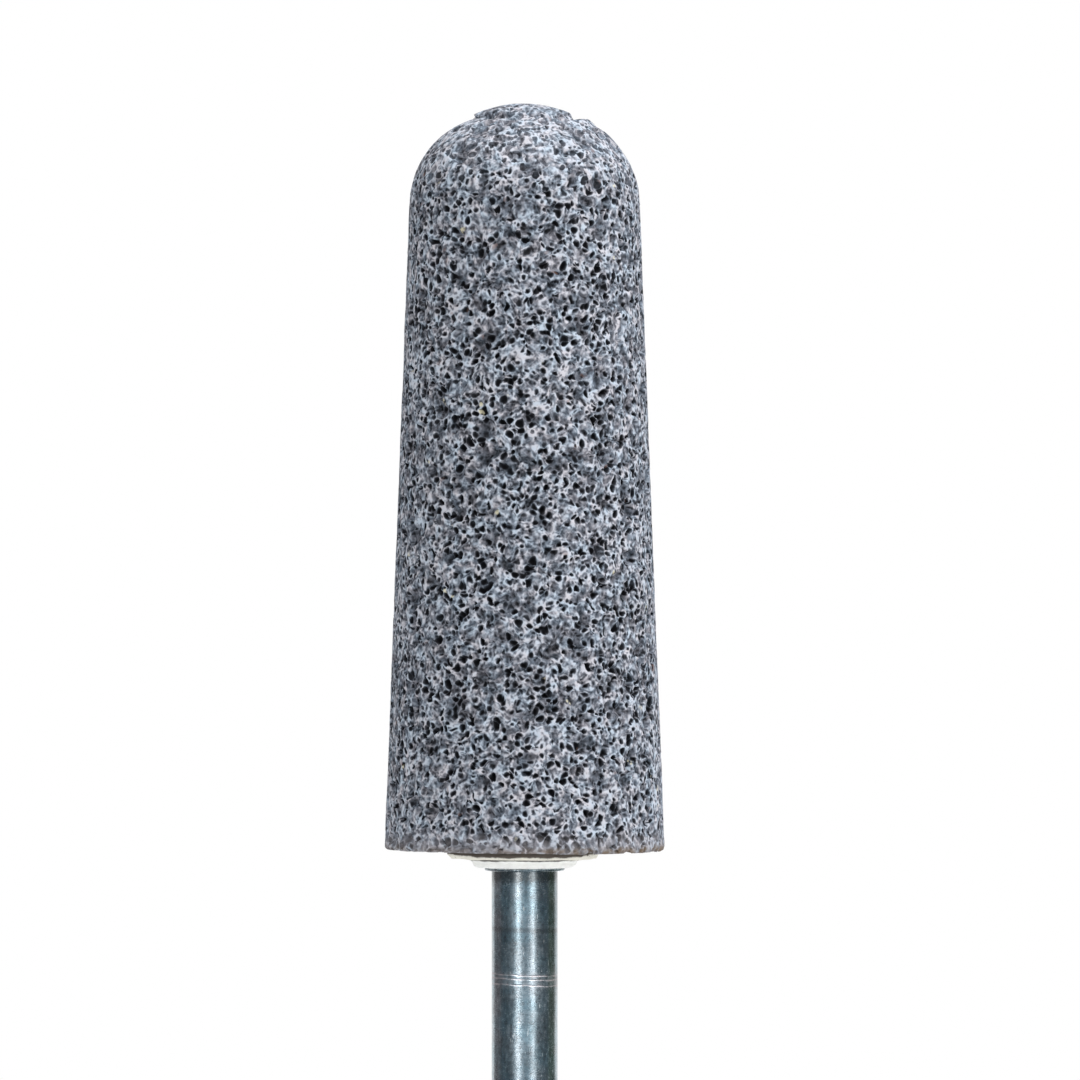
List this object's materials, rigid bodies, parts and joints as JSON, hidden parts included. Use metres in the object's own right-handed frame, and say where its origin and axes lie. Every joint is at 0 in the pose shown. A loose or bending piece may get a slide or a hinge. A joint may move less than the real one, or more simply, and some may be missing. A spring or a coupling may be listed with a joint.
{
  "type": "mounted point",
  "caption": "Tapered, round-nosed abrasive stone with a raised crown, cemented on a plain steel shank for a collet; grinds and deburrs metal.",
  "frame": {"origin": "centre of the shank's free end", "axes": "+Z along the axis, from the shank's free end to the nose"},
  "size_m": [0.0256, 0.0256, 0.108],
  "materials": {
    "grey_stone": "open-pored, blue-grey, matt",
    "cream_fibre": "matt cream, ragged edge",
    "white_cement": "matt white",
    "bright_steel": "bright drawn steel"
  },
  "bodies": {
    "root": {"abrasive_stone": "grey_stone", "backing_washer": "cream_fibre", "cement_bond": "white_cement", "shank": "bright_steel"}
  },
  "joints": []
}
